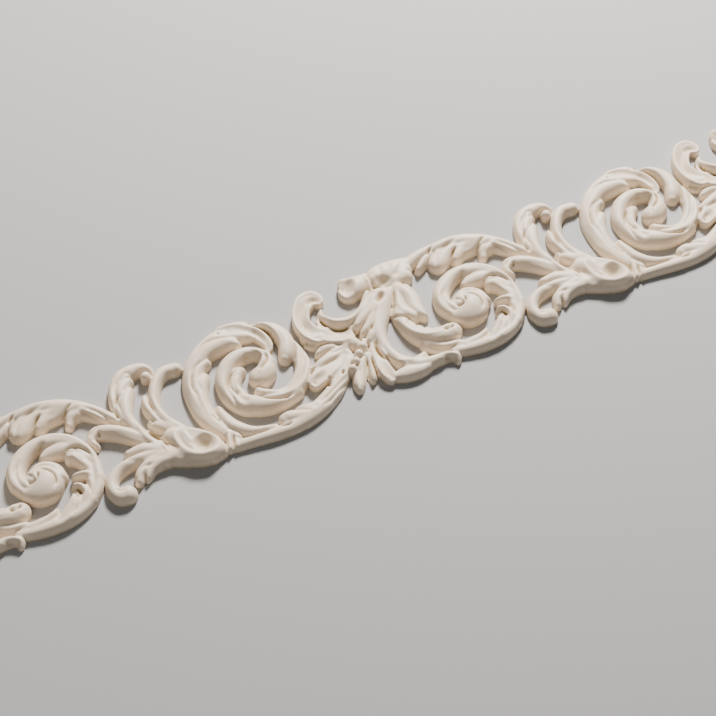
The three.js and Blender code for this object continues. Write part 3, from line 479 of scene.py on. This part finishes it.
def closest(x, y, line, half):
    """The sample of a line closest to each point, and how many halves away it is."""
    which = np.empty(len(x), int)
    share = np.empty(len(x))
    for start in range(0, len(x), POINTS_AT_ONCE):
        part = slice(start, start + POINTS_AT_ONCE)
        away = (x[part, None] - line[:, 0]) ** 2 + (y[part, None] - line[:, 1]) ** 2
        away = away / half ** 2
        which[part] = away.argmin(1)
        share[part] = np.sqrt(away.min(1))
    return which, share


def lay_stroke(x, y, edge, height, profile, shoulder, line):
    """Raises the points under one stroke, and notes how far in from its edge they lie."""
    spots = near(x, y, line, line[:, 2].max() + STROKE_MARGIN)
    if not len(spots):
        return
    which, share = closest(x[spots], y[spots], line, line[:, 2])
    half = line[which, 2]
    crest = line[which, 3]
    inward = (1 - share) * half
    rounding = np.minimum(shoulder, half)
    over = np.clip(1 - inward / rounding, 0, 1)
    laid = crest * profile(np.clip(share, 0, 1))
    laid -= SHOULDER_DROP * rounding * (1 - np.sqrt(1 - over ** 2))
    was = height[spots]
    higher = np.maximum(was, laid)
    closeness = np.clip(JOIN_SOFTNESS - np.abs(was - laid), 0, None)
    joined = higher + closeness ** 2 / 4 / JOIN_SOFTNESS
    first = edge[spots] < 0
    height[spots] = np.where(inward < -SKIRT, was, np.where(first, higher, joined))
    edge[spots] = np.maximum(edge[spots], inward)


def cut_crease(x, y, height, depth, width, line):
    """Lowers the points along one groove, which runs out softly at both its ends."""
    spots = near(x, y, line, CUT_REACH * width)
    if not len(spots):
        return
    which, away = closest(x[spots], y[spots], line, 1.0)
    to_end = np.minimum(which, len(line) - 1 - which)
    fade = np.clip(to_end / (CUT_FADE * len(line)), 0, 1)
    height[spots] -= depth * np.exp(-(away / width) ** 2) * fade


def press_dent(off_x, off_y, height, depth, half_long, half_wide, turn):
    """Lowers the points in one oval hollow, given how far they lie from its middle."""
    long = (off_x * math.cos(turn) + off_y * math.sin(turn)) / half_long
    wide = (off_y * math.cos(turn) - off_x * math.sin(turn)) / half_wide
    height -= depth * np.clip(1 - long ** 2 - wide ** 2, 0, None) ** DENT_FULLNESS


def relief(x, y):
    """Distance in from the outline, and height, at points of one repeat of the drawing.

    What is drawn past the repeat's end shows at its start, one repeat back.
    """
    edge = np.full(x.shape, FAR_OUTSIDE)
    height = np.full(x.shape, BED_HEIGHT)
    for shift in (0.0, -SQUARES_LONG):
        for profile, shoulder, line in strokes:
            lay_stroke(x, y, edge, height, profile, shoulder, line + (shift, 0, 0, 0))
    for shift in (0.0, -SQUARES_LONG):
        for depth, width, line in creases:
            cut_crease(x, y, height, depth, width, line + (shift, 0))
        for depth, middle_x, middle_y, half_long, half_wide, turn in dents:
            off_x = x - middle_x - shift
            press_dent(off_x, y - middle_y, height, depth, half_long, half_wide, turn)
    return edge, np.clip(height, LOWEST_RELIEF, SQUARES_DEEP)


# One repeat of the casting. It is cast solid, so its mesh is a shell: the carved face,
# walls down to the back along every outline, and the flat back. It stays open at the two
# cuts, where the next repeat joins on.
FIRST_CUT = -164.0
LOW_EDGE = -24.0
HIGH_EDGE = 84.0
COLUMNS = 408
ROWS = 138

columns = np.linspace(FIRST_CUT, FIRST_CUT + SQUARES_LONG, COLUMNS + 1)
rows = np.linspace(LOW_EDGE, HIGH_EDGE, ROWS + 1)
grid_x, grid_y = np.meshgrid(columns, rows)
flat_edge, flat_height = relief(grid_x.ravel(), grid_y.ravel())
edge = flat_edge.reshape(grid_x.shape)
height = flat_height.reshape(grid_x.shape)
edge[:, -1] = edge[:, 0]
height[:, -1] = height[:, 0]
inside = edge > 0

# The coat of finish rounds the sharpest edges, and the valleys are carved a little deeper
# than the strokes leave them, except at the rim.
COAT_RADIUS = 0.45
COAT_SOFTNESS = 0.65
BLUR_REACH = 3
LEAST_WEIGHT = 1e-6
RIM_KEPT = 2.5
VALLEY_GAIN = 0.75
VALLEY_MOST = 2
VALLEY_RADIUS = 1.6


def blur(values, weight, radius):
    """A soft mean over the casting alone, with the repeat joined to itself."""
    step = columns[1] - columns[0]
    reach = int(BLUR_REACH * radius / step) + 1
    kernel = np.exp(-0.5 * (np.arange(-reach, reach + 1) * step / radius) ** 2)

    def spread(field):
        wide = np.hstack([field[:, -1 - reach:-1], field, field[:, 1:1 + reach]])
        wide = np.apply_along_axis(np.convolve, 1, wide, kernel, "valid")
        tall = np.pad(wide, ((reach, reach), (0, 0)))
        return np.apply_along_axis(np.convolve, 0, tall, kernel, "valid")

    return spread(values * weight) / np.maximum(spread(weight * 1.0), LEAST_WEIGHT)


coated = (1 - COAT_SOFTNESS) * height + COAT_SOFTNESS * blur(height, inside, COAT_RADIUS)
height = np.where(inside, coated, height)
away_from_rim = np.clip(edge / RIM_KEPT, 0, 1)
valley = np.clip(blur(height, inside, VALLEY_RADIUS) - height, 0, VALLEY_MOST)
height -= np.where(inside, VALLEY_GAIN * away_from_rim * valley, 0)
height = np.clip(height, LOWEST_RELIEF, SQUARES_DEEP)

# How deep each point lies below its surroundings, near and wide, from 0 on the crests to
# 1 in the deepest hollows. The painted shade in the finish follows it: the deeper, the darker.
WIDE_RADIUS = 4.0
NEAR_DEEP = 2.0
NEAR_SHARE = 0.8
WIDE_SHALLOW = 0.5
WIDE_DEEP = 3.5
WIDE_SHARE = 0.5
# The feet of the walls, where the casting meets the floor, get this fixed share of painted shade.
FOOT_PAINTED_SHADE = 0.42

near_depth = blur(height, inside, VALLEY_RADIUS) - height
wide_depth = blur(height, inside, WIDE_RADIUS) - height
near_hollow = np.clip(near_depth / NEAR_DEEP, 0, 1)
wide_hollow = np.clip((wide_depth - WIDE_SHALLOW) / WIDE_DEEP, 0, 1)
hollow = near_hollow * NEAR_SHARE + wide_hollow * WIDE_SHARE
hollow = np.where(inside, np.clip(hollow, 0, 1) * away_from_rim, 0)

# The corners of the grid that lie on the casting, then the vertices on its outline. These
# keep a little clear of the corners.
CORNER_CLEARANCE = 0.08

places = []
hollows = []
corner_at = np.full(grid_x.shape, -1)
for row, column in zip(*np.nonzero(inside)):
    corner_at[row, column] = len(places)
    places.append((columns[column], rows[row], height[row, column]))
    hollows.append(hollow[row, column])

crossing_at = {}


def crossing(a, b):
    """The vertex where the outline passes between two corners of the grid."""
    key = (min(a, b), max(a, b))
    if key not in crossing_at:
        (row_a, column_a), (row_b, column_b) = key
        share = edge[key[0]] / (edge[key[0]] - edge[key[1]])
        share = min(max(share, CORNER_CLEARANCE), 1 - CORNER_CLEARANCE)
        x = columns[column_a] + share * (columns[column_b] - columns[column_a])
        y = rows[row_a] + share * (rows[row_b] - rows[row_a])
        crossing_at[key] = len(places)
        places.append((x, y, 0.0))
        solid = key[0] if edge[key[0]] > 0 else key[1]
        hollows.append(hollow[solid])
    return crossing_at[key]


faces = []
outline = []
for row in range(ROWS):
    for column in range(COLUMNS):
        square = [(row, column), (row, column + 1), (row + 1, column + 1), (row + 1, column)]
        within = [inside[corner] for corner in square]
        if all(within):
            faces.append([corner_at[corner] for corner in square])
            continue
        if not any(within):
            continue
        ring = []
        marks = []
        for here, there in zip(square, square[1:] + square[:1]):
            if inside[here]:
                ring.append(corner_at[here])
            if inside[here] != inside[there]:
                ring.append(crossing(here, there))
                marks.append((ring[-1], inside[here]))
        faces.append(ring)
        for (vertex, leaves), (following, _) in zip(marks, marks[1:] + marks[:1]):
            if leaves:
                outline.append((vertex, following))

# The rim's own height, the vertices below it on the back, and the walls between them.
rim = sorted(crossing_at.values())
places = np.array(places)
places[rim, 2] = relief(places[rim, 0], places[rim, 1])[1]
foot_of = {vertex: len(places) + i for i, vertex in enumerate(rim)}
places = np.vstack([places, places[rim] * (1, 1, 0)])
# The vertices at the feet of the walls carry painted shade.
hollows += [FOOT_PAINTED_SHADE] * len(rim)
for here, there in outline:
    faces.append([there, here, foot_of[here], foot_of[there]])

# The flat back fills the feet of the walls, and at the two cuts the line between them.
shell = bmesh.new()
corners = [shell.verts.new(place) for place in places]
for ring in faces:
    shell.faces.new([corners[i] for i in ring])
back_edges = [shell.edges.get((corners[foot_of[a]], corners[foot_of[b]])) for a, b in outline]
for column in (0, COLUMNS):
    feet = [
        (places[vertex, 1], foot_of[vertex])
        for (a, b), vertex in crossing_at.items()
        if a[1] == column and b[1] == column
    ]
    ordered = [corners[vertex] for _, vertex in sorted(feet)]
    for low, high in zip(ordered[::2], ordered[1::2]):
        back_edges.append(shell.edges.new((low, high)))
bmesh.ops.triangle_fill(shell, edges=back_edges, use_beauty=True, normal=(0, 0, -1))

# Squares to metres, by the size that the model really has.
CASTING = "scroll_moulding"
REPEATS = 2
SQUARES_ACROSS = 104.2
MIDDLE_ACROSS = 30.0

cast_low, cast_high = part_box(CASTING)
along = (cast_high.x - cast_low.x) / REPEATS / SQUARES_LONG
across = (cast_high.y - cast_low.y) / SQUARES_ACROSS
up = cast_high.z / SQUARES_DEEP
for corner in shell.verts:
    corner.co = (
        cast_low.x + (corner.co.x - FIRST_CUT) * along,
        (corner.co.y - MIDDLE_ACROSS) * across,
        corner.co.z * up,
    )
repeat_mesh = bpy.data.meshes.new("one_repeat")
shell.to_mesh(repeat_mesh)
shell.free()
repeat_mesh.attributes.new("hollow", "FLOAT", "POINT").data.foreach_set("value", hollows)


# The ivory finish. The casting is coated a matt ivory. Shade is painted into the colour, growing
# darker and browner the deeper a point lies in the hollows and grooves, with none on the crests.
# IVORY is the coat's own colour. The shaded ivory and the ochre and brown shades after it are painted
# shade for the hollows and grooves.
IVORY = (0.87, 0.73, 0.575, 1)
SHADED_IVORY = (0.75, 0.635, 0.49, 1)
SHADE_OCHRE = (0.57, 0.46, 0.29, 1)
DEEP_SHADE_OCHRE = (0.40, 0.28, 0.13, 1)
DARKEST_SHADE_BROWN = (0.27, 0.15, 0.055, 1)
COAT_SPECULAR = 0.35
COAT_ROUGHNESS = 0.48
CLOUD_SCALE = 55.0
CLOUD_DETAIL = 4.0
CLOUD_STRENGTH = 0.30
GRAIN_SCALE = 900.0
GRAIN_DETAIL = 3.0
GRAIN_STRENGTH = 0.25
GRAIN_DEPTH = 0.0002


def ivory_finish():
    """The finish: painted shade by the mesh's hollows, a little uneven, and a fine grain."""
    material = bpy.data.materials.new("ivory_casting")
    material.use_nodes = True
    nodes = material.node_tree.nodes
    link = material.node_tree.links.new
    shader = nodes["Principled BSDF"]
    shader.inputs["Metallic"].default_value = 0.0
    shader.inputs["Specular IOR Level"].default_value = COAT_SPECULAR
    shader.inputs["Roughness"].default_value = COAT_ROUGHNESS
    where = nodes.new("ShaderNodeTexCoord")
    depth = nodes.new("ShaderNodeAttribute")
    depth.attribute_name = "hollow"
    cloud = nodes.new("ShaderNodeTexNoise")
    cloud.inputs["Scale"].default_value = CLOUD_SCALE
    cloud.inputs["Detail"].default_value = CLOUD_DETAIL
    link(where.outputs["Object"], cloud.inputs["Vector"])
    uneven = nodes.new("ShaderNodeMath")
    uneven.operation = "MULTIPLY_ADD"
    link(cloud.outputs["Fac"], uneven.inputs[0])
    uneven.inputs[1].default_value = CLOUD_STRENGTH
    uneven.inputs[2].default_value = -CLOUD_STRENGTH / 2
    # How much painted shade each point gets: its depth in the hollows, made a little uneven.
    painted_shade_fac = nodes.new("ShaderNodeMath")
    painted_shade_fac.operation = "ADD"
    painted_shade_fac.use_clamp = True
    link(depth.outputs["Fac"], painted_shade_fac.inputs[0])
    link(uneven.outputs["Value"], painted_shade_fac.inputs[1])
    colour = nodes.new("ShaderNodeValToRGB")
    ramp = colour.color_ramp
    ramp.elements[0].position = 0.0
    ramp.elements[0].color = IVORY
    ramp.elements[1].position = 1.0
    ramp.elements[1].color = DARKEST_SHADE_BROWN
    # The ramp darkens from the lit ivory through painted shade, deepest brown in the deepest hollows.
    for place, shade in ((0.25, SHADED_IVORY), (0.5, SHADE_OCHRE), (0.78, DEEP_SHADE_OCHRE)):
        ramp.elements.new(place).color = shade
    link(painted_shade_fac.outputs["Value"], colour.inputs["Fac"])
    link(colour.outputs["Color"], shader.inputs["Base Color"])
    grain = nodes.new("ShaderNodeTexNoise")
    grain.inputs["Scale"].default_value = GRAIN_SCALE
    grain.inputs["Detail"].default_value = GRAIN_DETAIL
    link(where.outputs["Object"], grain.inputs["Vector"])
    bump = nodes.new("ShaderNodeBump")
    bump.inputs["Strength"].default_value = GRAIN_STRENGTH
    bump.inputs["Distance"].default_value = GRAIN_DEPTH
    link(grain.outputs["Fac"], bump.inputs["Height"])
    link(bump.outputs["Normal"], shader.inputs["Normal"])
    return material


# The casting. The repeats lie end to end and are one piece, so their shells are welded
# where they meet, and both ends of the run are closed where it is cut square.
WELD = 0.00002
SHARP_FROM = math.radians(62)


def run_of_repeats():
    """Geometry nodes that lay one repeat a number of times along the run and weld it."""
    tree = bpy.data.node_groups.new("run_of_repeats", "GeometryNodeTree")
    sockets = tree.interface
    sockets.new_socket("Repeat", in_out="INPUT", socket_type="NodeSocketGeometry")
    sockets.new_socket("Count", in_out="INPUT", socket_type="NodeSocketInt")
    sockets.new_socket("Pitch", in_out="INPUT", socket_type="NodeSocketFloat")
    sockets.new_socket("Weld", in_out="INPUT", socket_type="NodeSocketFloat")
    sockets.new_socket("Finish", in_out="INPUT", socket_type="NodeSocketMaterial")
    sockets.new_socket("Run", in_out="OUTPUT", socket_type="NodeSocketGeometry")
    nodes = tree.nodes
    link = tree.links.new
    given = nodes.new("NodeGroupInput")
    made = nodes.new("NodeGroupOutput")
    offset = nodes.new("ShaderNodeCombineXYZ")
    link(given.outputs["Pitch"], offset.inputs["X"])
    starts = nodes.new("GeometryNodeMeshLine")
    link(given.outputs["Count"], starts.inputs["Count"])
    link(offset.outputs["Vector"], starts.inputs["Offset"])
    laid = nodes.new("GeometryNodeInstanceOnPoints")
    link(starts.outputs["Mesh"], laid.inputs["Points"])
    link(given.outputs["Repeat"], laid.inputs["Instance"])
    real = nodes.new("GeometryNodeRealizeInstances")
    link(laid.outputs["Instances"], real.inputs["Geometry"])
    weld = nodes.new("GeometryNodeMergeByDistance")
    link(real.outputs["Geometry"], weld.inputs["Geometry"])
    link(given.outputs["Weld"], weld.inputs["Distance"])
    finish = nodes.new("GeometryNodeSetMaterial")
    link(weld.outputs["Geometry"], finish.inputs["Geometry"])
    link(given.outputs["Finish"], finish.inputs["Material"])
    link(finish.outputs["Geometry"], made.inputs["Run"])
    return tree


ivory = ivory_finish()
pattern = bpy.data.objects.new("pattern", repeat_mesh)
bpy.context.scene.collection.objects.link(pattern)
layout = pattern.modifiers.new("run", "NODES")
layout.node_group = run_of_repeats()
settings = {"Count": REPEATS, "Pitch": SQUARES_LONG * along, "Weld": WELD, "Finish": ivory}
for socket in layout.node_group.interface.items_tree:
    if socket.in_out == "INPUT" and socket.name in settings:
        layout[socket.identifier] = settings[socket.name]
evaluated = pattern.evaluated_get(bpy.context.evaluated_depsgraph_get())
run_mesh = bpy.data.meshes.new_from_object(evaluated)
bpy.data.objects.remove(pattern)

run = bmesh.new()
run.from_mesh(run_mesh)
end_edges = [side for side in run.edges if len(side.link_faces) == 1]
caps = bmesh.ops.holes_fill(run, edges=end_edges, sides=0)["faces"]
bmesh.ops.triangulate(run, faces=caps)
bmesh.ops.recalc_face_normals(run, faces=run.faces)
run.to_mesh(run_mesh)
run.free()
run_mesh.shade_smooth()
run_mesh.set_sharp_from_angle(angle=SHARP_FROM)
casting = bpy.data.objects.new("carved_casting", run_mesh)
bpy.context.scene.collection.objects.link(casting)
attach(casting, "root")
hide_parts(CASTING)

# The floor, a plain pale surface that the casting lies on. It lies a hair lower than the
# back, so that the two faces don't show through each other.
FLOOR_REACH = 6.0
FLOOR_DROP = 0.0001
FLOOR_COLOUR = (0.43, 0.43, 0.435, 1)
FLOOR_ROUGHNESS = 0.9
floor_mesh = bpy.data.meshes.new("floor")
floor_mesh.from_pydata(
    [(x * FLOOR_REACH, y * FLOOR_REACH, -FLOOR_DROP) for x, y in ((-1, -1), (1, -1), (1, 1), (-1, 1))],
    [], [(0, 1, 2, 3)],
)
floor = bpy.data.objects.new("floor", floor_mesh)
bpy.context.scene.collection.objects.link(floor)
pale = bpy.data.materials.new("pale_floor")
pale.use_nodes = True
pale_shader = pale.node_tree.nodes["Principled BSDF"]
pale_shader.inputs["Base Color"].default_value = FLOOR_COLOUR
pale_shader.inputs["Roughness"].default_value = FLOOR_ROUGHNESS
floor_mesh.materials.append(pale)

# The light. A soft key stands behind on the right, a wide and weak fill in front on the
# left, and the room gives a pale even light.
LOOKED_AT = (-0.034955, -0.013701, 0.0)
ROOM_COLOUR = (1.0, 0.98, 0.95, 1)
ROOM_STRENGTH = 0.08


def soft_light(name, place, size, power, colour):
    """A round lamp that faces the point that the camera looks at."""
    lamp = bpy.data.lights.new(name, "AREA")
    lamp.shape = "DISK"
    lamp.size = size
    lamp.energy = power
    lamp.color = colour
    holder = bpy.data.objects.new(name, lamp)
    holder.location = place
    holder.rotation_euler = (Vector(LOOKED_AT) - Vector(place)).to_track_quat("-Z", "Y").to_euler()
    bpy.context.scene.collection.objects.link(holder)


soft_light("key_light", place=(0.70, 1.0, 1.05), size=0.36, power=78.0, colour=(1.0, 0.955, 0.905))
soft_light("fill_light", place=(-0.9, -0.9, 1.3), size=1.4, power=4.5, colour=(1.0, 0.97, 0.93))
room = bpy.data.worlds.new("room")
room.use_nodes = True
room_light = room.node_tree.nodes["Background"]
room_light.inputs["Color"].default_value = ROOM_COLOUR
room_light.inputs["Strength"].default_value = ROOM_STRENGTH
bpy.context.scene.world = room

# The camera looks down on the casting from the front left, as it was photographed. Its
# focal length is in squares of a picture that is 716 of them wide.
CAMERA_YAW = math.radians(-26.848)
CAMERA_PITCH = math.radians(51.964)
CAMERA_ROLL = math.radians(-0.884)
CAMERA_DISTANCE = 1.1773
CAMERA_FOCAL = 1700.0
FRAME_WIDE = 716.0
SENSOR_WIDE = 36.0
towards_camera = Vector((
    math.sin(CAMERA_YAW) * math.cos(CAMERA_PITCH),
    -math.cos(CAMERA_YAW) * math.cos(CAMERA_PITCH),
    math.sin(CAMERA_PITCH),
))
level = (-towards_camera).cross(Vector((0, 0, 1))).normalized()
upright = level.cross(-towards_camera)
right = math.cos(CAMERA_ROLL) * level + math.sin(CAMERA_ROLL) * upright
above = math.cos(CAMERA_ROLL) * upright - math.sin(CAMERA_ROLL) * level
optics = bpy.data.cameras.new("camera")
optics.sensor_width = SENSOR_WIDE
optics.lens = CAMERA_FOCAL / FRAME_WIDE * SENSOR_WIDE
camera = bpy.data.objects.new("camera", optics)
turned = Matrix((right, above, towards_camera)).transposed().to_4x4()
camera.matrix_world = Matrix.Translation(Vector(LOOKED_AT) + towards_camera * CAMERA_DISTANCE) @ turned
bpy.context.scene.collection.objects.link(camera)
bpy.context.scene.camera = camera
